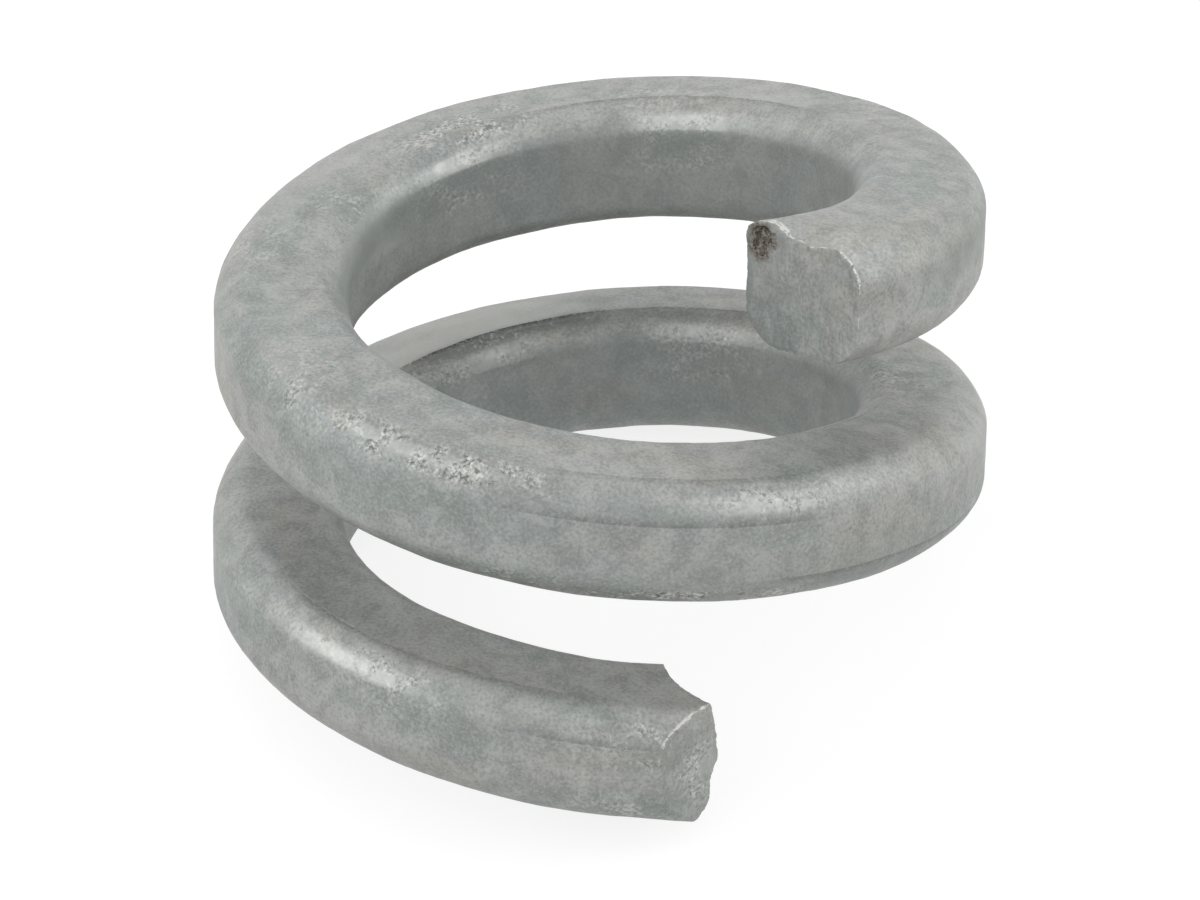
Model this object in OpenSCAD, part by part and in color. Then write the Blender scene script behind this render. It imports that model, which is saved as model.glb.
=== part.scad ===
// Double coil spring lock washer: about two turns of square wire, wound left-handed
// and cropped off at both ends. A bolt goes through the bore and squeezes the coil
// flat. The washer lies as it comes to rest, leaning over the tip of its lower end,
// and the axis of the bore meets the surface that it stands on at the origin.

/* [Coil] */
// Diameter of the bore through the coil
bore_d = 20.5; // [16:0.1:28]
// Width of the wire, out from the axis
wire_w = 5.25; // [4:0.05:8]
// Height of the wire along the axis, at the middle of its width
wire_h = 5.2; // [4:0.05:7]
// How much higher the wire is at the bore than at the outside, where it is squeezed
keystone = 0.8; // [0:0.05:1.2]
// Rise of the coil in one turn
pitch = 9.6; // [8.6:0.1:16]
// Number of turns between the two ends
turns = 1.952; // [1.3:0.002:2.8]
// Direction of the upper end, seen from above
upper_end_angle = -53; // [-180:0.5:180]

/* [Edges] */
// Radius of the rounded edges at the outside
outer_edge_r = 1.3; // [0.5:0.05:1.8]
// Radius of the rounded edges at the bore
inner_edge_r = 1.3; // [0.5:0.05:1.8]

/* [Upper end] */
// Angle of the upper cut from square across the wire
upper_skew = 14; // [0:0.5:20]
// How far the cut drags the upper edge of the end down
upper_roll = 0.45; // [0:0.05:1]
// Length of wire over which that edge is dragged down
roll_len = 1.6; // [0.5:0.1:3]
// Radius of the two hollows, one above the other, of the pit torn out by the bore
pit_r = 0.6; // [0.4:0.05:0.9]
// Depth of the pit along the wire
pit_depth = 0.5; // [0.2:0.05:0.7]
// Height of the pit, down from the end's upper edge
pit_h = 1.7; // [1:0.1:2.4]

/* [Lower end] */
// Angle of the lower cut from square across the wire
lower_skew = 8.5; // [0:0.5:20]
// How far the lower end swells out at the middle of its height
lower_swell = 0.55; // [0:0.05:0.8]
// Length of the corner sheared off the lower end's outer side, along the wire
nose_len = 2.9; // [1:0.1:4]
// Width of that corner, across the wire
nose_w = 1.35; // [0.3:0.05:2]
// Radius of the hollow broken out of the lower end's upper edge
chip_r = 3.6; // [2:0.1:5]
// Depth of the hollow along the wire
chip_depth = 1.1; // [0.3:0.05:1.6]

/* [Hidden] */
bore_r = bore_d / 2;
outer_r = bore_r + wire_w;
mid_r = (bore_r + outer_r) / 2;
inner_h = wire_h + keystone / 2;
outer_h = wire_h - keystone / 2;
lower_end_angle = upper_end_angle + 360 * turns;
mid_angle = (upper_end_angle + lower_end_angle) / 2;
coil_h = pitch * turns + inner_h;
// Rings of points along the coil, closer together over the rolled edge of the upper
// end, and steps round each edge of the wire
ring_step = 4.5;
rings = ceil(360 * turns / ring_step);
ring_len = 2 * PI * mid_r * turns / rings;
fine_rings = 2;
fine_step = 0.25;
stations = [each [0:fine_step:fine_rings - fine_step], each [fine_rings:rings]];
edge_steps = 5;
// Sides of the round walls, and of the hollows broken out of the ends
wall_sides = 180;
hollow_sides = 48;
// How far the swept wire stands proud of the two round walls that trim it
trim = 0.1;

// The wire's section as [radius, height] points, anticlockwise from the outer wall
function edge(centre, r, from) = [for (i = [0:edge_steps])
    let (a = from + 90 * i / edge_steps) centre + r * [cos(a), sin(a)]];
section = concat(
    edge([outer_r - outer_edge_r, outer_h / 2 - outer_edge_r], outer_edge_r, 0),
    edge([bore_r + inner_edge_r, inner_h / 2 - inner_edge_r], inner_edge_r, 90),
    edge([bore_r + inner_edge_r, inner_edge_r - inner_h / 2], inner_edge_r, 180),
    edge([outer_r - outer_edge_r, outer_edge_r - outer_h / 2], outer_edge_r, 270));

// The same with its two upright walls moved out past the round walls that trim it
level = 0.001;
function is_wall(p) = p[0] > outer_r - level || p[0] < bore_r + level;
swept = [for (p = section) is_wall(p) ? [p[0] + trim * sign(p[0] - mid_r), p[1]] : p];

// Height of the middle of the wire, which falls anticlockwise: a left-hand coil
function rise(angle) = pitch * (mid_angle - angle) / 360;

// Angle from an end to its flat skewed cut, at a radius
function cut_angle(skew, r) = skew - asin(mid_r * sin(skew) / r);

// Angle of a ring at a point of the section, so that the first ring lies in a flat cut
// and the last one falls back from its cut above and below the middle of the wire
function ring_angle(t, p) =
    let (swell = lower_swell * pow(2 * p[1] / wire_h, 2),
         from = upper_end_angle + cut_angle(upper_skew, p[0]),
         to = lower_end_angle + cut_angle(lower_skew, p[0]) - atan(swell / p[0]))
    from + (to - from) * t / rings;

// Share of its height that the upper side of the wire loses on its way to the upper cut
function rolled(t) =
    upper_roll / (wire_h / 2) * pow(max(0, 1 - t * ring_len / roll_len), 2);

// A point of the section carried to a ring
function on_coil(t, p) =
    let (a = ring_angle(t, p), z = p[1] > 0 ? p[1] * (1 - rolled(t)) : p[1])
    [p[0] * cos(a), p[0] * sin(a), rise(a) + z];

// How the washer comes to rest. It tips from its lowest point until a second point
// touches the surface. Then it rolls about two of the points that touch until a third
// does, and goes on as long as its centre of mass hangs over one side of the three.
function unit(v) = v / norm(v);
function least(points, values) = points[search(min(values), values)[0]];
// Slope up to each point ahead; points closer than least_run, or behind, don't count
least_run = 0.02;
no_touch = 1000;
function slopes(points, from, along, up) = [for (p = points)
    let (run = (p - from) * along) run > least_run ? (p - from) * up / run : no_touch];
function next_touch(from, along, up) =
    least(underside, slopes(underside, from, along, up));
function hangs_over(a, b, inner, up) =
    let (across = cross(up, b - a)) (across * (balance - a)) * (across * (inner - a)) < 0;
function settle(a, b, up) =
    let (across = unit(cross(up, b - a)),
         c = next_touch(a, across * sign(across * (balance - a)), up),
         face = unit(cross(b - a, c - a)),
         face_up = face * sign(face[2]))
    hangs_over(a, c, b, face_up) ? settle(a, c, face_up)
    : hangs_over(b, c, a, face_up) ? settle(b, c, face_up) : face_up;
underside = [for (t = stations, p = section) if (p[1] < 0) on_coil(t, p)];
centres = [for (t = [0:rings]) on_coil(t, [mid_r, 0])];
balance = [for (p = centres) 1] * centres / len(centres);
tip = least(underside, [for (p = underside) p[2]]);
inward = unit([balance[0] - tip[0], balance[1] - tip[1], 0]);
heel = next_touch(tip, inward, [0, 0, 1]);
rest_up = settle(tip, heel, unit(cross(heel - tip, cross([0, 0, 1], inward))));
// Where the bore's axis meets the surface, along that axis
rest_foot = min([for (p = underside) rest_up * p]) / rest_up[2];

module wire() {
    n = len(swept);
    last_ring = len(stations) - 1;
    middles = [on_coil(0, [mid_r, 0]), on_coil(rings, [mid_r, 0])];
    first = len(stations) * n;
    last = last_ring * n;
    ends = [for (j = [0:n - 1]) let (k = (j + 1) % n)
        each [[first, k, j], [first + 1, last + j, last + k]]];
    sides = [for (i = [0:last_ring - 1], j = [0:n - 1])
        let (a = i * n + j, b = i * n + (j + 1) % n)
        each [[a, b, b + n], [a, b + n, a + n]]];
    rounds = [for (t = stations, p = swept) on_coil(t, p)];
    polyhedron(concat(rounds, middles), concat(ends, sides));
}

// The space between the bore's wall and the outer wall, both true cylinders
module round_walls() {
    difference() {
        cylinder(h = 2 * coil_h, r = outer_r, center = true, $fn = wall_sides);
        cylinder(h = 3 * coil_h, r = bore_r, center = true, $fn = wall_sides);
    }
}

// Places something on a cut: X runs outward along it and Z up
module at_cut(angle, skew) {
    rotate(angle) translate([mid_r, 0, rise(angle)]) rotate(skew) children();
}

// What shears the lower end's outer corner off: it slants back from a blunt nose to
// where it comes out of the curved outer wall
module nose_shear() {
    ahead = nose_len + mid_r * sin(lower_skew);
    nose = [wire_w / 2 - nose_w, 0];
    side = [sqrt(pow(outer_r, 2) - pow(ahead, 2)) - mid_r * cos(lower_skew), -nose_len];
    start = nose - (side - nose) / 2;
    stop = side + (side - nose);
    linear_extrude(pitch, center = true)
        polygon([start, stop, [wire_w, stop[1]], [wire_w, start[1]]]);
}

// The pit's two hollows, the upper one open at the end's upper edge
module pit() {
    top = inner_h / 2 - upper_roll;
    for (z = [top - pit_r, top - pit_h + pit_r])
        translate([pit_r - wire_w / 2, pit_depth - pit_r, z])
            sphere(pit_r, $fn = hollow_sides);
}

module washer() {
    color([0.6, 0.62, 0.61])
        rotate(acos(rest_up[2]), cross(rest_up, [0, 0, 1]))
        translate([0, 0, -rest_foot])
        difference() {
            intersection() {
                wire();
                round_walls();
            }
            at_cut(upper_end_angle, upper_skew) pit();
            at_cut(lower_end_angle, lower_skew) {
                nose_shear();
                translate([-nose_w / 2, chip_r - chip_depth, inner_h / 2])
                    sphere(chip_r, $fn = hollow_sides);
            }
        }
}

washer();
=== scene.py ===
"""Looks for the double coil spring lock washer: the hot-dip galvanised wire, its worn
edges and its two cropped ends, on a plain pale board in soft studio light."""
from math import atan2, cos, degrees, hypot, pi, radians, sin

import bmesh
import bpy
from mathutils import Matrix, Vector, noise


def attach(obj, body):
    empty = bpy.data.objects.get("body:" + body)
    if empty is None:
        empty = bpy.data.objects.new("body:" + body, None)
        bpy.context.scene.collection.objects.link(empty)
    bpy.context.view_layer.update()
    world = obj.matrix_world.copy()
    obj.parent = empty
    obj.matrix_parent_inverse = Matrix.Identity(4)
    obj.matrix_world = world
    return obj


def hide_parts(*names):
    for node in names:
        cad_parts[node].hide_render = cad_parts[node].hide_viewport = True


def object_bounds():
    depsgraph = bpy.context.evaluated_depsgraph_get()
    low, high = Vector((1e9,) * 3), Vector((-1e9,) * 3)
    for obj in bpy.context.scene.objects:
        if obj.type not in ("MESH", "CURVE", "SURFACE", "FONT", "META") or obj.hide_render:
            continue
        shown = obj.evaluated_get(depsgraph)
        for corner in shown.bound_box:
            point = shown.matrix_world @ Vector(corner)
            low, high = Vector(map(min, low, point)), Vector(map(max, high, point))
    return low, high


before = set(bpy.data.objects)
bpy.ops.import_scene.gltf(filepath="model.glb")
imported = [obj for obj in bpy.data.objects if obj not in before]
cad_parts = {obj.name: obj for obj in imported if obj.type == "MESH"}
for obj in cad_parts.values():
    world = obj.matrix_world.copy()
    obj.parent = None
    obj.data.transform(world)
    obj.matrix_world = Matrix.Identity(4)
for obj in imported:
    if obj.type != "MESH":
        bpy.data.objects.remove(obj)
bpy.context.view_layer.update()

# ---------------------------------------------------------------- sizes
# The wire is made in millimetres and degrees, and brought to metres at the end.
MM = 0.001
# The washer's sizes, as in the solid that it stands for.
BORE_R = 10.25
OUTER_R = 15.5
MID_R = (BORE_R + OUTER_R) / 2
WIRE_W = OUTER_R - BORE_R
WIRE_H = 5.2
INNER_H = 5.6
OUTER_H = 4.8
EDGE_R = 1.3
PITCH = 9.6
TURNS = 1.952
UPPER_END = -53
LOWER_END = UPPER_END + 360 * TURNS
# As the wire is wound, its bore's axis stands upright. Once it has come to rest, this is
# the direction that points up, this is the height on the axis where it meets the board,
# and so far is it turned about X and Y, in radians.
REST_UP = Vector((-0.0826033, -0.223941, 0.971096))
REST_FOOT = -9.75717
REST_LEAN = (-0.23, 0.085, 0)
# The two cuts: the direction of the end, and its skew from square across the wire.
UPPER_CUT = (UPPER_END, 14)
LOWER_CUT = (LOWER_END, 8.5)
# The corner sheared off the outer side of the lower end runs from the nose, on the cut,
# to a place on the outer wall.
NOSE_X = WIRE_W / 2 - 1.35
SHEAR_SIDE = (1.99, -2.9)
SHEAR_TURN = degrees(atan2(SHEAR_SIDE[1], SHEAR_SIDE[0] - NOSE_X))

# How far the wire is wound past each end before it is cropped, and its mesh: rings along
# it, steps round each rolled edge and cuts across each flat side.
SPARE = 5
RINGS = 620
EDGE_STEPS = 10
SIDE_CUTS = 9
# How full the rolled edges are: 0.5 would be a true round, and these are flatter.
EDGE_FULLNESS = 0.4

# The block that crops the wire: side and depth, and the cuts of its rough face.
BLOCK = 8.4
BLOCK_DEPTH = 4
BLOCK_CUTS = 52
# Places on a cut lie outward along it, along the wire and up, from the cut's middle.
# The flat faces that crop the ends, in order: name, cut, place on it, turn from it, lean
# back, height of the roughness and size of its grain.
CROPS = (("upper_cut", UPPER_CUT, (0, 0, 0), 180, 0, 0.07, 1.2),
         ("lower_cut", LOWER_CUT, (0, -0.03, 0), 0, 0, 0.14, 0.9),
         ("lower_top", LOWER_CUT, (0, -0.03, 0.25), 0, 11, 0.14, 0.9),
         ("lower_foot", LOWER_CUT, (0, -0.03, 0.1), 0, -15, 0.14, 0.9),
         ("lower_heel", LOWER_CUT, (0, -0.74, -1.85), 0, -36, 0.08, 0.9),
         ("lower_sole", LOWER_CUT, (0, -1.25, -2.3), 0, -62, 0.06, 0.9),
         ("lower_shear", LOWER_CUT, (NOSE_X, 0, 0), SHEAR_TURN, 0, 0.3, 1.1))
# The two hollows of the torn pit: place on the upper cut, and half sizes.
PIT = (((-2.0, -0.05, 1.95), (0.50, 0.40, 0.42)),
       ((-2.12, -0.05, 1.42), (0.36, 0.36, 0.40)))
# The lumpy hollows broken out of the ends, in order: name, cut, place on it, half sizes,
# height of the roughness and size of its grain.
HOLLOWS = (("chip", LOWER_CUT, (-0.7, 2.55, INNER_H / 2 + 0.1), (3.6, 3.6, 3.6), 0.25, 1.2),
           ("nick", LOWER_CUT, (NOSE_X + 0.15, 0.1, -0.3), (0.3, 0.2, 0.22), 0.1, 0.2),
           ("scoop", LOWER_CUT, (NOSE_X, 0.8, -1.45), (1.3, 1.2, 2.0), 0.1, 0.5),
           *(("pit", UPPER_CUT, place, size, 0.16, 0.35) for place, size in PIT))

# Slivers of the mesh at the cuts narrower than this are merged. An edge that bends more
# than the one angle is part of a rim, and more than the other it stays sharp in the light.
SLIVER = 0.05
RIM_BEND = 30
SHARP_BEND = 38
# How far along the coil from the upper and the lower end the cuts touch the wire.
UPPER_STRETCH = 20
LOWER_STRETCH = 26

# How near a cut a point lies along the wire to be on the rim of the upper and the lower
# end, and how far from the middle of the cut the rim's furthest point is.
UPPER_RIM = 0.4
LOWER_RIM = 0.5
RIM_SPAN = 3.2

# The shear dragged the upper edge of the upper end down before it broke through, but left
# the corner by the bore standing: from and to along the cut, the lowest height that moves,
# how far it goes out and up, and how far round it is felt.
DRAGS = ((-0.9, 0.8, 1.9, 0, -0.42, 1.4), (-2.5, -1.9, 1.7, -0.3, -0.1, 0.9))
# The coil isn't quite true. Three of its half turns stand out or in, and the last quarter
# turn runs high: middle of the stretch, how far it goes, and how far round it is felt.
STRAYS = ((5, (-0.28, 0, 0), 14), (360, (0.14, 0, 0), 16), (540, (-0.12, 0, 0), 16),
          (600, (0, 0, 0.14), 14))
# The upper edge by the bore, above this height on the wire, stands up: middle of the
# stretch and its half length, how far it goes up, and how far round it is felt.
BORE_EDGE = 2
RIDGES = ((270, 46, 0.26, 6), (618, 6, 0.16, 5))
# The shear spread the lower end a little, above and below this far from the middle: upper
# or lower side, and how far it goes up.
SPREAD_FROM = 1.2
SPREADS = ((1, 0.16), (-1, -0.14))
SPREAD_REACH = 3.5

# How far from the middle of each cut its own burr and wear reach.
UPPER_REACH = 4.5
LOWER_REACH = 5.5
# The bright broken line along the burr is a painted glint, laid on the rims given here.
# Where the burr of the upper end stands, from and to along the cut, and its width there;
# and its width on the rest of that rim, and along the rim of the lower end.
BURRED = ((-1.8, -0.75, 1.1), (-0.25, 0.05, 0.55), (0.65, 1.0, 0.55), (1.4, 2.7, 0.55))
BARE_BURR = 0.1
LOWER_BURR = 0.35
# The rims bear it above these heights, and the upper one also on a short stretch of its
# outer corner: how far out that lies, and from and to up the cut.
UPPER_BURR_FROM = 0.8
LOWER_BURR_FROM = 1.4
CORNER_X = 2
CORNER_BURR = (-0.7, -0.1)
# Where the lower end's face stands up in a rough ridge beside the nose; its lightness there
# is a painted highlight in the white and bright tints.
RIDGE = Vector((NOSE_X + 0.25, -1.0, -0.1))
# The edges underneath wore in the same way, a little further round and less, and their
# painted highlights are weaker.
UNDER_TURN = 40
UNDER_SHARE = 0.3
# Over how many degrees, from before its start to after it, the wear of a patch fades in.
FADE = (-6, 8)
# How far round the torn pit its dark wear goes, how uneven its border is, how many of the
# border's lumps go to a millimetre, and between which shares of the pit's size it fades.
TORN_MORE = 0.1
TORN_SHARE = 0.35
TORN_LUMPS = 2.7
TORN_FADE = (0.95, 1.25)

# The marks that tell the finish how much wear each point bears, and where highlights and
# shade are painted on; mark_wear says what they mean.
MARKS = ("round_edge", "fresh_cut", "burr", "pit", "polish", "crust", "crease", "stain",
         "bloom")
# In each table of wear below, a patch has its side of the wire, the angles between which
# it runs, the middle and the half width of its band round the edge, and its strength.
# Where the tumbling and the other washers in the barrel wore the upper edges bright; the
# same patches are painted highlights, set where light glints on the rolled edges.
BURNISH_AND_HIGHLIGHTS = (("inner", 58, 86, 0.25, 0.35, 1.2), ("inner", 98, 114, 0.45, 0.30, 0.35),
            ("inner", 110, 138, 0.20, 0.35, 1.3), ("inner", 136, 150, 0.60, 0.35, 0.4),
            ("inner", 205, 232, 0.40, 0.30, 0.5), ("inner", 262, 300, 0.45, 0.30, 0.4),
            ("inner", 335, 362, 0.35, 0.30, 0.7), ("inner", 410, 440, 0.25, 0.40, 1.0),
            ("inner", 448, 462, 0.35, 0.30, 0.3), ("inner", 464, 486, 0.30, 0.35, 1.2),
            ("inner", 540, 566, 0.40, 0.30, 0.5), ("outer", -56, -44, 0.75, 0.45, 1.0),
            ("outer", -18, 14, 0.45, 0.30, 0.6), ("outer", 60, 96, 0.50, 0.30, 0.8),
            ("outer", 132, 150, 0.40, 0.30, 0.5), ("outer", 205, 225, 0.65, 0.35, 0.5),
            ("outer", 224, 258, 0.58, 0.24, 1.0), ("outer", 262, 275, 0.50, 0.30, 0.2),
            ("outer", 284, 308, 0.42, 0.30, 1.2), ("outer", 300, 322, 0.50, 0.28, 0.6),
            ("outer", 372, 400, 0.45, 0.30, 0.8), ("outer", 436, 470, 0.50, 0.30, 0.7),
            ("outer", 515, 532, 0.40, 0.30, 0.5), ("outer", 556, 575, 0.25, 0.25, 0.5),
            ("outer", 574, 606, 0.32, 0.30, 1.2), ("outer", 606, 622, 0.55, 0.30, 0.2),
            ("outer", 634, 640, 0.80, 0.25, 1.0))
# Where drops and ash of the zinc bath froze on it as a rough crust. Its pale flecks also
# break up the painted highlights, most of all on the outer edge from 226 to 262 degrees.
CRUSTED = (("inner", 66, 92, 0.85, 0.30, 0.5), ("inner", 106, 134, 0.90, 0.40, 1.2),
           ("inner", 150, 165, 0.80, 0.50, 0.6), ("inner", 350, 372, 0.70, 0.50, 0.8),
           ("inner", 450, 492, 0.80, 0.20, 0.8), ("inner", 474, 496, 0.45, 0.50, 0.6),
           ("outer", 24, 48, 0.60, 0.50, 0.8), ("outer", 165, 185, 0.85, 0.50, 0.5),
           ("outer", 208, 226, 0.60, 0.60, 0.8), ("outer", 226, 262, 0.58, 0.42, 1.4),
           ("outer", 288, 308, 0.45, 0.45, 0.9), ("outer", 405, 430, 0.50, 0.50, 0.7),
           ("outer", 588, 608, 0.35, 0.45, 0.9), ("outer", 630, 644, 0.25, 0.45, 1.0))
# Where the rolls left a crease between an edge and the flat above or the wall below; the
# dark line in it is painted shadow, and the darker band beside it painted shade.
HIGH_CREASES = (("inner", 40, 108, 0, 1, 0.6), ("inner", 300, 340, 0, 1, 0.4),
                ("inner", 408, 452, 0, 1, 0.6), ("inner", 450, 494, 0, 1, 2.0),
                ("outer", 256, 306, 0, 1, 0.4), ("outer", 395, 440, 0, 1, 0.6),
                ("outer", 572, 628, 0, 1, 0.4))
LOW_CREASES = (("outer", 70, 100, 0, 1, 0.6), ("outer", 256, 304, 0, 1, 0.55),
               ("outer", 618, 640, 0, 1, 0.5))
# Where white bloom of the zinc lies on the flats and the walls.
BLOOMED = (("inner", 140, 205, 0.0, 0.5, 0.8), ("inner", 450, 505, 1.0, 0.2, 1.4),
           ("outer", 0, 40, 0.0, 0.5, 0.2), ("outer", 130, 215, 1.0, 0.6, 0.5),
           ("outer", 150, 205, 0.2, 0.6, 0.4), ("outer", 225, 245, 0.0, 0.4, 0.5),
           ("outer", 275, 300, 0.0, 0.4, 0.4), ("outer", 340, 400, 0.0, 0.5, 0.6),
           ("outer", 450, 505, 1.0, 0.5, 1.4), ("outer", 545, 560, 0.1, 0.5, 0.5))
# Where the flux left the walls dull and greenish. The patch on the bore wall from 440 to 470
# is painted shade on the wall's lower part, and the one from 637 to 641 darkens a strip of
# the outer wall beside the shear's border. The middle and half width of these are heights
# on the wall.
STAINS_AND_SHADE = (("inner", 148, 166, 1.6, 2.0, 1.0), ("inner", 440, 470, -1.8, 1.8, 0.6),
           ("outer", -35, 10, 0.0, 2.4, 0.8), ("outer", 20, 40, -0.5, 2.0, 0.5),
           ("outer", 240, 256, -1.0, 1.6, 0.4), ("outer", 262, 290, -1.2, 1.3, 0.6),
           ("outer", 606, 614, 0.0, 2.5, 0.5), ("outer", 637, 641, -0.6, 2.2, 1.0))


# ---------------------------------------------------------------- workshop tools
def take(piece):
    """Makes the piece the only one selected, and active."""
    bpy.ops.object.select_all(action="DESELECT")
    piece.select_set(True)
    bpy.context.view_layer.objects.active = piece


def pick(piece, kind, test):
    """In edit mode, selects only the vertices, edges or faces that pass the test."""
    bpy.ops.mesh.select_mode(type=kind)
    bpy.ops.mesh.select_all(action="DESELECT")
    mesh = bmesh.from_edit_mesh(piece.data)
    parts = {"VERT": mesh.verts, "EDGE": mesh.edges, "FACE": mesh.faces}[kind]
    for part in parts:
        if test(part):
            part.select_set(True)
    mesh.select_flush_mode()
    bmesh.update_edit_mesh(piece.data)


def finish_with(piece, kind, **settings):
    """Adds a modifier with its settings and applies it."""
    take(piece)
    modifier = piece.modifiers.new(kind.lower(), kind)
    for name, value in settings.items():
        setattr(modifier, name, value)
    bpy.ops.object.modifier_apply(modifier=modifier.name)


def roughen(piece, name, height, grain, depth=2, **settings):
    """Displaces a piece with cloudy unevenness of a height and a grain in millimetres."""
    texture = bpy.data.textures.new(name, "CLOUDS")
    texture.noise_scale = grain
    texture.noise_depth = depth
    finish_with(piece, "DISPLACE", texture=texture, strength=height, texture_coords="LOCAL",
                **settings)


def push(wire, test, by, reach, falloff="SMOOTH"):
    """Pushes the points whose places pass the test, and less and less the wire round them,
    up to reach millimetres away."""
    bpy.ops.object.mode_set(mode="EDIT")
    pick(wire, "VERT", lambda vertex: test(vertex.co))
    bpy.ops.transform.translate(value=by, use_proportional_edit=True,
                                use_proportional_connected=True,
                                proportional_edit_falloff=falloff, proportional_size=reach)
    bpy.ops.object.mode_set(mode="OBJECT")


def step(value, low, high):
    """How far a value is on its way from low to high, held between 0 and 1."""
    return min(max((value - low) / (high - low), 0), 1)


# ---------------------------------------------------------------- places on the coil
def rise(angle):
    """Height of the middle of the wire, which falls anticlockwise."""
    return PITCH * ((UPPER_END + LOWER_END) / 2 - angle) / 360


def place_on_coil(p):
    """Angle along the coil, radius, and height from the middle of the wire, of a point."""
    flat = degrees(atan2(p.y, p.x))
    # The point belongs to the turn whose wire is nearest to it in height.
    angle = min((flat + 360 * turn for turn in range(-1, 4)), key=lambda a: abs(p.z - rise(a)))
    return angle, hypot(p.x, p.y), p.z - rise(angle)


def on_cut(cut, x, y, z):
    """Where a place on a cut lies."""
    end, skew = cut
    middle = Vector((MID_R * cos(radians(end)), MID_R * sin(radians(end)), rise(end)))
    return middle + Matrix.Rotation(radians(end + skew), 3, "Z") @ Vector((x, y, z))


def from_cut(cut, p):
    """A point's place on a cut, the other way round."""
    return Matrix.Rotation(-radians(sum(cut)), 3, "Z") @ (p - on_cut(cut, 0, 0, 0))


def at_an_end(p):
    """Whether a point is near enough to an end to have been touched by the cuts."""
    angle = place_on_coil(p)[0]
    return angle < UPPER_END + UPPER_STRETCH or angle > LOWER_END - LOWER_STRETCH


# ---------------------------------------------------------------- the wound wire
def wound_wire():
    """Keystoned wire with rolled edges, wound left-handed and left long at both ends."""
    bpy.ops.object.select_all(action="DESELECT")
    bpy.ops.mesh.primitive_plane_add(size=1, location=(MID_R, 0, 0), rotation=(pi / 2, 0, 0))
    wire = bpy.context.object
    wire.name = "galvanised_coil"
    wire.scale = (WIRE_W, WIRE_H, 1)
    bpy.ops.object.transform_apply(location=True, rotation=True, scale=True)
    bpy.ops.object.mode_set(mode="EDIT")
    pick(wire, "VERT", lambda v: v.co.x < MID_R)
    bpy.ops.transform.resize(value=(1, 1, INNER_H / WIRE_H), center_override=(BORE_R, 0, 0))
    pick(wire, "VERT", lambda v: v.co.x > MID_R)
    bpy.ops.transform.resize(value=(1, 1, OUTER_H / WIRE_H), center_override=(OUTER_R, 0, 0))
    bpy.ops.mesh.select_all(action="SELECT")
    bpy.ops.mesh.bevel(offset=EDGE_R, segments=EDGE_STEPS, profile=EDGE_FULLNESS,
                       affect="VERTICES")
    pick(wire, "EDGE", lambda e: e.calc_length() > EDGE_R)
    bpy.ops.mesh.subdivide(number_cuts=SIDE_CUTS)
    bpy.ops.mesh.select_all(action="SELECT")
    bpy.ops.mesh.delete(type="ONLY_FACE")
    bpy.ops.object.mode_set(mode="OBJECT")
    finish_with(wire, "SCREW", axis="Z", angle=radians(360 * TURNS + 2 * SPARE),
                screw_offset=-PITCH * (360 * TURNS + 2 * SPARE) / 360,
                steps=RINGS, render_steps=RINGS, use_merge_vertices=False)
    wire.rotation_euler.z = radians(UPPER_END - SPARE)
    wire.location.z = rise(UPPER_END - SPARE)
    bpy.ops.object.transform_apply(location=True, rotation=True, scale=True)
    bpy.ops.object.mode_set(mode="EDIT")
    bpy.ops.mesh.select_all(action="SELECT")
    bpy.ops.mesh.normals_make_consistent(inside=False)
    bpy.ops.object.mode_set(mode="OBJECT")
    return wire


def on_dragged_edge(p, low_x, high_x, low_z):
    """Whether a point lies on the upper side of the wire where the upper cut will be."""
    place = from_cut(UPPER_CUT, p)
    angle, _, height = place_on_coil(p)
    return (abs(place.y) < UPPER_RIM and low_x < place.x < high_x and height > low_z
            and angle < UPPER_END + UPPER_STRETCH)


def drag_upper_edge(wire):
    """Drags the upper edge of the upper end down, before it is cropped."""
    for low_x, high_x, low_z, out, up, reach in DRAGS:
        by = Matrix.Rotation(radians(sum(UPPER_CUT)), 3, "Z") @ Vector((out, 0, up))
        push(wire, lambda p: on_dragged_edge(p, low_x, high_x, low_z), by, reach, "SHARP")


# ---------------------------------------------------------------- the cropped ends
# Skins that tell the rolled wire, 0, from cropped steel, 1, until the wear is marked.
SKINS = [bpy.data.materials.new(name) for name in ("rolled_wire", "cropped_steel")]


def give_skins(piece, index):
    """Gives a piece both skins, and puts one of them on."""
    for skin in SKINS:
        piece.data.materials.append(skin)
    for face in piece.data.polygons:
        face.material_index = index


def crop(wire, name, at, turn, lean, relief, grain):
    """Cuts the wire off with a block whose face is as rough as the sheared steel. The
    face passes through at, is turned about the upright and leans back; the block lies
    on its far side."""
    bpy.ops.object.select_all(action="DESELECT")
    bpy.ops.mesh.primitive_grid_add(x_subdivisions=BLOCK_CUTS, y_subdivisions=BLOCK_CUTS,
                                    size=BLOCK)
    block = bpy.context.object
    give_skins(block, 1)
    roughen(block, name + "_relief", relief, grain, depth=4)
    bpy.ops.object.mode_set(mode="EDIT")
    bpy.ops.mesh.select_all(action="SELECT")
    bpy.ops.mesh.extrude_region_move(TRANSFORM_OT_translate={"value": (0, 0, BLOCK_DEPTH)})
    bpy.ops.mesh.select_all(action="SELECT")
    bpy.ops.mesh.normals_make_consistent(inside=False)
    bpy.ops.object.mode_set(mode="OBJECT")
    block.matrix_world = (Matrix.Translation(at) @ Matrix.Rotation(radians(turn), 4, "Z")
                          @ Matrix.Rotation(radians(lean - 90), 4, "X"))
    take(block)
    bpy.ops.object.transform_apply(location=True, rotation=True, scale=True)
    finish_with(wire, "BOOLEAN", object=block, operation="DIFFERENCE", solver="EXACT")
    bpy.data.objects.remove(block)


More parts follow.
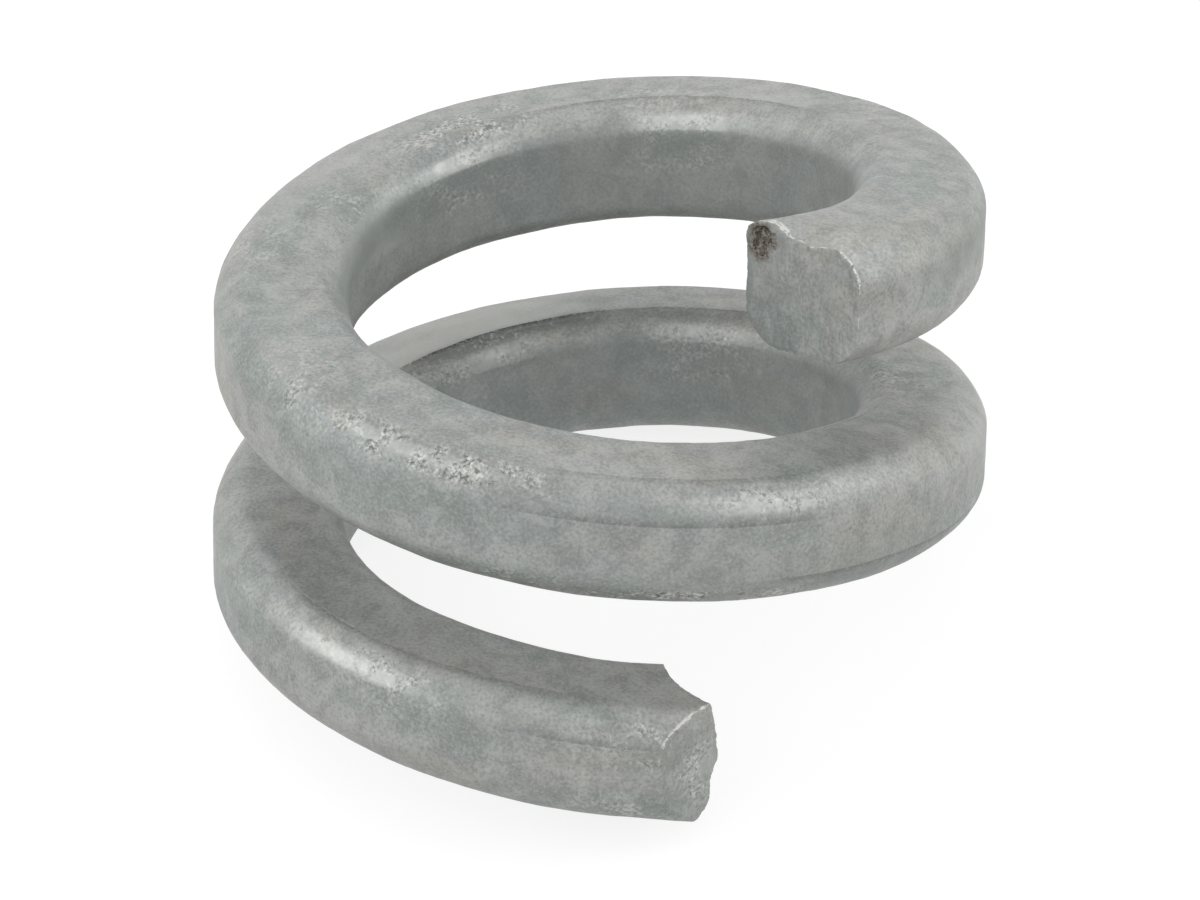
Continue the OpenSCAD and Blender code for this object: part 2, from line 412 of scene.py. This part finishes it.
def break_out(wire, name, at, size, relief, grain):
    """Breaks a lumpy hollow out of the wire; a large one gets a finer skin."""
    bpy.ops.object.select_all(action="DESELECT")
    bpy.ops.mesh.primitive_ico_sphere_add(subdivisions=6 if size[0] > 2 else 5, radius=1,
                                          location=at)
    hollow = bpy.context.object
    give_skins(hollow, 1)
    hollow.scale = size
    bpy.ops.object.transform_apply(location=True, rotation=True, scale=True)
    roughen(hollow, name + "_relief", relief, grain, depth=3)
    finish_with(wire, "BOOLEAN", object=hollow, operation="DIFFERENCE", solver="EXACT")
    bpy.data.objects.remove(hollow)


def crop_ends(wire):
    """Crops the wire to length, and breaks the hollows out of its ends."""
    for name, cut, place, turn, lean, relief, grain in CROPS:
        end, skew = cut
        crop(wire, name, on_cut(cut, *place), end + skew + turn, lean, relief, grain)
    for name, cut, place, size, relief, grain in HOLLOWS:
        break_out(wire, name, on_cut(cut, *place), size, relief, grain)


def is_rim(edge):
    """Whether an edge is part of the sharp rim round a cut or a hollow."""
    return (len(edge.link_faces) == 2 and edge.calc_face_angle() > radians(RIM_BEND)
            and at_an_end(edge.verts[0].co))


def soften_rims(wire):
    """Merges the slivers that the cuts leave, notes the rims and rounds them a little."""
    bpy.ops.object.mode_set(mode="EDIT")
    pick(wire, "FACE", lambda f: at_an_end(f.calc_center_median()))
    bpy.ops.mesh.remove_doubles(threshold=SLIVER)
    pick(wire, "FACE", lambda f: at_an_end(f.calc_center_median()))
    bpy.ops.mesh.quads_convert_to_tris(quad_method="BEAUTY", ngon_method="BEAUTY")
    # The merging folds a few slivers flat; they hang on the closed shell by one edge.
    pick(wire, "FACE", lambda f: any(edge.is_boundary for edge in f.edges))
    bpy.ops.mesh.delete(type="FACE")
    pick(wire, "EDGE", is_rim)
    bpy.ops.mesh.select_mode(type="VERT")
    bpy.ops.object.vertex_group_assign_new()
    bpy.ops.mesh.vertices_smooth(factor=0.5, repeat=1)
    bpy.ops.object.mode_set(mode="OBJECT")
    wire.vertex_groups[0].name = "rims"


# ---------------------------------------------------------------- the wear
def round_edge(radius, height):
    """How far round a rolled edge a place on the section is, from 0 on a wall to 1 on an
    upper or lower face."""
    top = (INNER_H + (OUTER_H - INNER_H) * (radius - BORE_R) / WIRE_W) / 2
    high = top - abs(height)
    wide = min(radius - BORE_R, OUTER_R - radius)
    if max(wide, high) >= EDGE_R:
        return 1.0 if high < wide else 0.0
    return degrees(atan2(EDGE_R - high, EDGE_R - wide)) / 90


def patch_strength(patches, side, angle, arc):
    """How strong a table's patches are at a place, for wear, painted highlights and painted
    shade alike. They fade out over a few degrees at the ends of a patch, and over the outer
    half of its band."""
    most = 0
    for where, start, stop, middle, half, strength in patches:
        if where == side:
            along = step(min(angle - start, stop - angle), *FADE)
            across = 1 - step(abs(arc - middle), half / 2, half)
            most = max(most, strength * along * across)
    return most


def burr_at(upper, lower):
    """How near a place on the rolled wire is to the burr, whose glint is painted: 1 on the rim
    that bears it, 0 at the burr's width from it, and -1 further off. The place is given on
    both cuts."""
    on_top = upper.z > UPPER_BURR_FROM
    on_corner = upper.x > CORNER_X and CORNER_BURR[0] < upper.z < CORNER_BURR[1]
    if upper.length < UPPER_REACH and (on_top or on_corner):
        widths = [width for start, stop, width in BURRED if start < upper.x < stop]
        return max(1 - upper.y / max(widths, default=BARE_BURR), -1)
    if lower.length < LOWER_REACH and lower.z > LOWER_BURR_FROM:
        run = Vector((SHEAR_SIDE[0] - NOSE_X, SHEAR_SIDE[1]))
        gap = (run.y * (lower.x - NOSE_X) - run.x * lower.y) / run.length
        return max(1 - gap / LOWER_BURR, -1)
    return -1


def torn_at(p, upper):
    """How much a point is in the torn pit, whose border is uneven."""
    depth = min(Vector([(a - b) / (r + TORN_MORE)
                        for a, b, r in zip(upper, place, size)]).length for place, size in PIT)
    return 1 - step(depth + TORN_SHARE * noise.noise(p * TORN_LUMPS), *TORN_FADE)


def marks_at(p, steel):
    """The marks of a point: steel is 0 on the rolled wire and 1 on cropped steel."""
    angle, radius, height = place_on_coil(p)
    upper, lower = from_cut(UPPER_CUT, p), from_cut(LOWER_CUT, p)
    side = "inner" if radius < MID_R else "outer"
    arc = round_edge(radius, height)
    creases = HIGH_CREASES if arc > 0.5 else LOW_CREASES
    zinc = 1 - steel
    share = zinc
    if height < 0:
        angle -= UNDER_TURN
        share *= UNDER_SHARE
    # The burnish patches are also painted highlights on the rolled edges.
    polish = patch_strength(BURNISH_AND_HIGHLIGHTS, side, angle, arc) * share
    marks = {"round_edge": arc, "fresh_cut": steel, "pit": torn_at(p, upper), "polish": polish,
             "burr": -1 if steel == 1 else burr_at(upper, lower),
             "bloom": patch_strength(BLOOMED, side, angle, arc) * share,
             # Half the burnish goes to crust too, so its pale flecks break up the painted
             # highlights.
             "crust": max(patch_strength(CRUSTED, side, angle, arc) * zinc, 0.5 * polish),
             "crease": patch_strength(creases, side, angle, 0) * zinc,
             "stain": patch_strength(STAINS_AND_SHADE, side, angle, height)}
    # The upper cut face is darker towards the bore.
    if steel and upper.length < UPPER_REACH:
        marks["stain"] = 0.5 * step(-upper.x, 0.2, 1.2)
    # The ridge on the lower cut gets a painted highlight, in the white and bright tints, and rough
    # crust.
    if steel and lower.length < LOWER_REACH:
        gap = (lower - RIDGE).length
        bright = 1 - step(gap, 0.4, 1.4)
        marks.update(bloom=bright, polish=0.6 * bright, crust=1 - step(gap, 0.6, 1.8))
    return marks


def mark_wear(wire):
    """Marks each point with what its finish depends on: round_edge runs from 0 on the
    walls to 1 on the faces, fresh_cut is 1 on the cropped steel, burr runs up to 1 on
    the rims that bear it and its painted glint, and pit is 1 in the torn hole;
    polish, crust, crease, stain and bloom are the wear,
    with painted highlights, painted shade along the creases and some painted shade on
    the bore wall, and unrolled is the place in millimetres along the wire, out from
    the axis and up."""
    for name in MARKS:
        wire.data.attributes.new(name, "FLOAT", "POINT")
    wire.data.attributes.new("unrolled", "FLOAT_VECTOR", "POINT")
    marks = {name: wire.data.attributes[name].data for name in MARKS}
    unrolled = wire.data.attributes["unrolled"].data
    on_steel, on_zinc = set(), set()
    for face in wire.data.polygons:
        (on_steel if face.material_index else on_zinc).update(face.vertices)
        face.material_index = 0
    for i, vertex in enumerate(wire.data.vertices):
        steel = (0.5 if i in on_zinc else 1.0) if i in on_steel else 0.0
        for name, value in marks_at(vertex.co, steel).items():
            marks[name][i].value = value
        angle, radius, height = place_on_coil(vertex.co)
        unrolled[i].vector = (radians(angle) * MID_R, radius, height)


# ---------------------------------------------------------------- the last shaping
def raise_burr_and_zinc(wire):
    """Raises a ragged burr along the rims, and the coat's low runs and grain."""
    roughen(wire, "ragged_burr", 0.1, 0.3, mid_level=0.4, vertex_group="rims")
    wire.vertex_groups.clear()
    roughen(wire, "zinc_runs", 0.09, 3.0)
    roughen(wire, "zinc_grain", 0.03, 0.7)


def on_ridge(p, middle, half):
    """Whether a point lies on the wire's upper side by the bore, on a stretch of it."""
    angle, radius, height = place_on_coil(p)
    return abs(angle - middle) < half and radius < MID_R and height > BORE_EDGE


def on_lower_rim(p, side):
    """Whether a point lies on the rim of the lower end, above with 1 and below with -1."""
    place = from_cut(LOWER_CUT, p)
    return (place.length < RIM_SPAN and abs(place.y) < LOWER_RIM
            and side * place.z > SPREAD_FROM)


def bend_out_of_true(wire):
    """Gives the coil the small departures of a wound and cropped spring."""
    for middle, by, reach in STRAYS:
        push(wire, lambda p: abs(place_on_coil(p)[0] - middle) < 1, by, reach)
    for middle, half, up, reach in RIDGES:
        push(wire, lambda p: on_ridge(p, middle, half), (0, 0, up), reach)
    for side, up in SPREADS:
        push(wire, lambda p: on_lower_rim(p, side), (0, 0, up), SPREAD_REACH)


def lay_down(wire):
    """Lays the washer down as it comes to rest, and brings it to metres."""
    lean = REST_UP.rotation_difference(Vector((0, 0, 1))).to_matrix().to_4x4()
    wire.matrix_world = Matrix.Scale(MM, 4) @ lean @ Matrix.Translation((0, 0, -REST_FOOT))
    take(wire)
    bpy.ops.object.transform_apply(location=True, rotation=True, scale=True)
    bpy.ops.object.shade_smooth_by_angle(angle=radians(SHARP_BEND))


wire = wound_wire()
give_skins(wire, 0)
drag_upper_edge(wire)
crop_ends(wire)
soften_rims(wire)
mark_wear(wire)
raise_burr_and_zinc(wire)
bend_out_of_true(wire)
lay_down(wire)
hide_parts("washer")
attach(wire, "root")


# ---------------------------------------------------------------- material tools
MULTIPLY = {"operation": "MULTIPLY"}
MAXIMUM = {"operation": "MAXIMUM"}
MULTIPLY_ADD = {"operation": "MULTIPLY_ADD"}
COLOURS = {"data_type": "RGBA"}


def srgb(hexed):
    """A colour written as sRGB hex, as the linear RGBA that a socket takes."""
    parts = [int(hexed[i:i + 2], 16) / 255 for i in (1, 3, 5)]
    return [c / 12.92 if c <= 0.04045 else ((c + 0.055) / 1.055) ** 2.4 for c in parts] + [1]


def add(material, kind, settings=None, **links):
    """Adds a node with its settings. Its inputs, by name or as i and a number, are set
    to values, or linked to sockets or to the first output of nodes."""
    node = material.node_tree.nodes.new(kind)
    for name, value in (settings or {}).items():
        setattr(node, name, value)
    for name, value in links.items():
        key = int(name[1:]) if name[0] == "i" and name[1:].isdigit() else name.replace("_", " ")
        if isinstance(value, bpy.types.Node):
            value = next(out for out in value.outputs if out.enabled)
        if isinstance(value, bpy.types.NodeSocket):
            material.node_tree.links.new(value, node.inputs[key])
        else:
            node.inputs[key].default_value = value
    return node


def new_material(name):
    """A material with an empty set of nodes."""
    material = bpy.data.materials.new(name)
    material.use_nodes = True
    material.node_tree.nodes.clear()
    return material


# ---------------------------------------------------------------- the zinc coat
# The patterns in the coat: name, size in millimetres, detail, distortion, and whether it
# lies even, is drawn out along the wire, or is drawn out upright, as the shear went. The
# speckle stands for the grain of the coat, which is really a few hundredths of a
# millimetre.
PATTERNS = (("clouds", 4.0, 2, 0.2, "along"), ("tints", 2.4, 2, 0.3, "along"),
            ("patches", 1.1, 3, 0.4, "even"), ("mottling", 0.45, 3, 0.0, "even"),
            ("drops", 0.17, 2, 0.5, "even"), ("drag", 0.35, 3, 0.0, "upright"),
            ("speckle", 0.13, 2, 0.0, "even"))
# The dulled zinc, and each tint where one of the patterns is high or low: the pattern,
# where the tint starts and where it is full, its share there, and its colour.
DULL_ZINC = "#a2a3a0"
TINTS = (("clouds", 0.50, 0.62, 0.50, "#b0b1af"), ("clouds", 0.49, 0.37, 0.40, "#909a9c"),
         ("tints", 0.54, 0.64, 0.40, "#a6a29a"), ("tints", 0.46, 0.36, 0.45, "#8d9891"),
         ("patches", 0.52, 0.62, 0.37, "#b8b9b6"), ("patches", 0.48, 0.38, 0.37, "#848785"),
         ("speckle", 0.53, 0.66, 0.32, "#c0c1be"), ("speckle", 0.47, 0.34, 0.35, "#747775"))
# The wear, with the painted highlights and shade that go with it: name, what bears it, and
# the pattern that breaks it up, with where in that it starts and where it is full.
WEAR = (("bright", "bared_and_highlight", "ragged", 0.75, 1.65), ("line", "creased", "off_middle", 0.34, 0.46),
        ("shade", "creased", "off_middle", 0.0, 0.42), ("pocks", "rough", "drops", 0.46, 0.36),
        ("flecks", "rough", "drops", 0.53, 0.62), ("shear_marks", "fresh_cut", "drag", 0.40, 0.62),
        ("burr_glint", "rim", "drops", 0.36, 0.46), ("grit", "pit", "speckle", 0.40, 0.60),
        ("flux", "stain", "tints", 0.30, 0.55), ("white", "bloom", "clouds", 0.30, 0.56))
# The tint of each kind of wear, from the first laid on to the last, with its full share.
# bright is burnish and painted highlight, burr_glint a painted glint, and white also a
# painted highlight on the lower end's ridge; line and shade are painted shade in the
# creases, and flux is partly painted shade.
WEAR_TINTS = (("flux", 0.50, "#7f8a86"), ("white", 0.55, "#bcbdb9"), ("shade", 0.35, "#737775"),
              ("bright", 0.72, "#cccdca"), ("line", 0.60, "#4c4f4d"), ("pocks", 0.52, "#5a5c58"),
              ("flecks", 0.66, "#d6d6d1"), ("shear_marks", 0.22, "#7d807e"),
              ("burr_glint", 0.80, "#dddcd6"), ("pit", 0.85, "#4c4640"), ("grit", 0.80, "#a0988d"))
# The relief, in millimetres.
RELIEF = (("patches", 0.05), ("mottling", 0.02), ("line", -0.04), ("pocks", -0.03),
          ("flecks", 0.02), ("shear_marks", 0.04), ("grit", 0.05))


def coat_patterns(m):
    """The marks and the patterns of the coat, by name, and the radius of each place."""
    place = add(m, "ShaderNodeTexCoord").outputs["Object"]
    wound = add(m, "ShaderNodeAttribute", {"attribute_name": "unrolled"}).outputs["Vector"]
    # Upright marks run along the bore's axis, as they did before the washer leant over.
    ways = {"even": place,
            "along": add(m, "ShaderNodeMapping", Vector=wound, Scale=(0.4 * MM, MM, MM)),
            "upright": add(m, "ShaderNodeMapping", Vector=place, Rotation=REST_LEAN,
                           Scale=(1, 1, 0.12))}
    coat = {"radius": add(m, "ShaderNodeSeparateXYZ", Vector=wound).outputs["Y"]}
    for name in MARKS:
        coat[name] = add(m, "ShaderNodeAttribute", {"attribute_name": name}).outputs["Fac"]
    for name, size, detail, warp, way in PATTERNS:
        coat[name] = add(m, "ShaderNodeTexNoise", Vector=ways[way], Scale=1 / (size * MM),
                         Detail=detail, Roughness=0.55, Distortion=warp)
    return coat


def add_wear(m, coat):
    """Adds to the patterns what bears the wear, and the wear itself: burnish in patches, which
    are also painted highlights; a thin dark line of painted shadow in the crease at the
    border of an edge, with painted shade beside it; dark pocks and pale flecks of crust;
    shear marks; a painted glint in a bright broken line along the burr; grit; flux, partly
    painted shade; and white bloom."""
    # The crease's dark line is a painted shadow, and the band beside it painted shade.
    middle = add(m, "ShaderNodeMath", {"operation": "SUBTRACT"}, i0=coat["round_edge"], i1=0.5)
    coat["off_middle"] = add(m, "ShaderNodeMath", {"operation": "ABSOLUTE"}, i0=middle)
    on_edge = add(m, "ShaderNodeMapRange", Value=coat["off_middle"], From_Min=0.5,
                  From_Max=0.48)
    coat["creased"] = add(m, "ShaderNodeMath", MULTIPLY, i0=coat["crease"], i1=on_edge)
    # The burr's rim, which bears the painted glint.
    coat["rim"] = add(m, "ShaderNodeMapRange", Value=coat["burr"], From_Min=0.70, From_Max=0.82)
    # Where the burnish and its painted highlight may lie: off the walls, and on the cut steel.
    off_wall = add(m, "ShaderNodeMapRange", Value=coat["round_edge"], From_Min=0.02,
                   From_Max=0.10)
    open_to_wear_and_highlight = add(m, "ShaderNodeMath", MAXIMUM, i0=off_wall, i1=coat["fresh_cut"])
    coat["bared_and_highlight"] = add(m, "ShaderNodeMath", MULTIPLY, i0=coat["polish"], i1=open_to_wear_and_highlight)
    coat["ragged"] = coat["mottling"]
    for name, share in (("drops", 0.4), ("bared_and_highlight", 0.5)):
        coat["ragged"] = add(m, "ShaderNodeMath", MULTIPLY_ADD, i0=coat[name], i1=share,
                             i2=coat["ragged"])
    patch = add(m, "ShaderNodeMapRange", Value=coat["patches"], From_Min=0.42, From_Max=0.55)
    coat["rough"] = add(m, "ShaderNodeMath", MULTIPLY, i0=coat["crust"], i1=patch)
    for name, bearer, pattern, start, full in WEAR:
        part = add(m, "ShaderNodeMapRange", Value=coat[pattern], From_Min=start, From_Max=full)
        coat[name] = add(m, "ShaderNodeMath", MULTIPLY, i0=coat[bearer], i1=part)
    # The painted shadow line of the crease comes and goes along the wire.
    dashed = add(m, "ShaderNodeMapRange", Value=coat["drops"], From_Min=0.36, From_Max=0.52)
    coat["line"] = add(m, "ShaderNodeMath", MULTIPLY, i0=coat["line"], i1=dashed)


def galvanised_steel():
    """Spring steel, cropped, hot-dip galvanised and tumbled. The zinc has dulled to a
    mottled grey without spangle; the tumbling polished the rolled edges in patches, which
    also carry painted highlights, the creases carry painted shade, and the cropped ends keep
    upright shear marks under a thinner coat."""
    m = new_material("hot_dip_zinc")
    coat = coat_patterns(m)
    add_wear(m, coat)
    colour = srgb(DULL_ZINC)
    for pattern, start, full, share, tint in TINTS:
        cover = add(m, "ShaderNodeMapRange", Value=coat[pattern], From_Min=start,
                    From_Max=full, To_Max=share)
        colour = add(m, "ShaderNodeMix", COLOURS, i0=cover, i6=colour, i7=srgb(tint))
    # The wall of the bore lay on the mandrel, so it is smoother; its darker tint is partly dull
    # zinc and partly painted shade, as the bore wall gets less light.
    cover = add(m, "ShaderNodeMapRange", Value=coat["radius"], From_Min=BORE_R + 0.35,
                From_Max=BORE_R + 0.1, To_Max=0.45)
    colour = add(m, "ShaderNodeMix", COLOURS, i0=cover, i6=colour, i7=srgb("#8c9290"))
    for wear, most, tint in WEAR_TINTS:
        cover = add(m, "ShaderNodeMath", MULTIPLY, i0=coat[wear], i1=most)
        colour = add(m, "ShaderNodeMix", COLOURS, i0=cover, i6=colour, i7=srgb(tint))
    height = 0.0
    for name, rises in RELIEF:
        height = add(m, "ShaderNodeMath", MULTIPLY_ADD, i0=coat[name], i1=rises, i2=height)
    bump = add(m, "ShaderNodeBump", Strength=0.8, Distance=MM, Height=height)
    gloss = add(m, "ShaderNodeMapRange", Value=coat["bright"], To_Min=0.56, To_Max=0.46)
    skin = add(m, "ShaderNodeBsdfPrincipled", Base_Color=colour, Metallic=0.6,
               Roughness=gloss, Normal=bump)
    add(m, "ShaderNodeOutputMaterial", Surface=skin)
    return m


wire.data.materials.clear()
for skin in SKINS:
    bpy.data.materials.remove(skin)
wire.data.materials.append(galvanised_steel())


# ---------------------------------------------------------------- board, light and camera
def seen(material):
    """1 where a surface is looked at, straight or as a reflection, and 0 where it only
    lights things."""
    path = add(material, "ShaderNodeLightPath")
    share = path.outputs["Is Camera Ray"]
    for ray in ("Is Glossy Ray", "Is Transmission Ray"):
        share = add(material, "ShaderNodeMath", MAXIMUM, i0=share, i1=path.outputs[ray])
    return share


def pale_board():
    """White card that the washer stands on. Seen straight or in the zinc it is white
    paper in full light; only its shadow is drawn."""
    bpy.ops.object.select_all(action="DESELECT")
    bpy.ops.mesh.primitive_plane_add(size=4, location=(0, 0, min(0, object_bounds()[0][2])))
    bpy.ops.object.transform_apply(location=True)
    board = bpy.context.object
    board.name = "board"
    m = new_material("white_card")
    card = add(m, "ShaderNodeBsdfDiffuse", Color=srgb("#868686"))
    glow = add(m, "ShaderNodeEmission", Color=srgb("#ffffff"), Strength=0.81)
    lit = add(m, "ShaderNodeAddShader", i0=card, i1=glow)
    mixed = add(m, "ShaderNodeMixShader", i0=seen(m), i1=card, i2=lit)
    add(m, "ShaderNodeOutputMaterial", Surface=mixed)
    board.data.materials.append(m)


def studio():
    """A white room, with a round softbox on each side."""
    world = bpy.data.worlds.new("studio")
    bpy.context.scene.world = world
    world.use_nodes = True
    world.node_tree.nodes.clear()
    white = add(world, "ShaderNodeBackground", Color=srgb("#ffffff"), Strength=1.0)
    add(world, "ShaderNodeOutputWorld", Surface=white)
    for name, place, power in (("left_softbox", (-0.38, -0.05, 0.30), 0.4),
                               ("right_softbox", (0.42, 0.06, 0.22), 0.35)):
        bpy.ops.object.light_add(type="AREA", location=place)
        lamp = bpy.context.object
        lamp.name = name
        lamp.rotation_euler = Vector(place).to_track_quat("Z", "Y").to_euler()
        lamp.data.shape = "DISK"
        lamp.data.size = 0.25
        lamp.data.energy = power


def camera():
    """A long lens from the front, looking down on the washer at about 38 degrees."""
    bpy.ops.object.camera_add(location=(0.012809, -0.213667, 0.178051),
                              rotation=(radians(51.513), radians(3.929), radians(0.107)))
    view = bpy.context.object
    view.data.sensor_width = 36
    view.data.lens = 203.72
    view.data.clip_start, view.data.clip_end = 0.01, 10
    bpy.context.scene.camera = view


pale_board()
studio()
camera()
bpy.context.scene.view_settings.view_transform = "Standard"
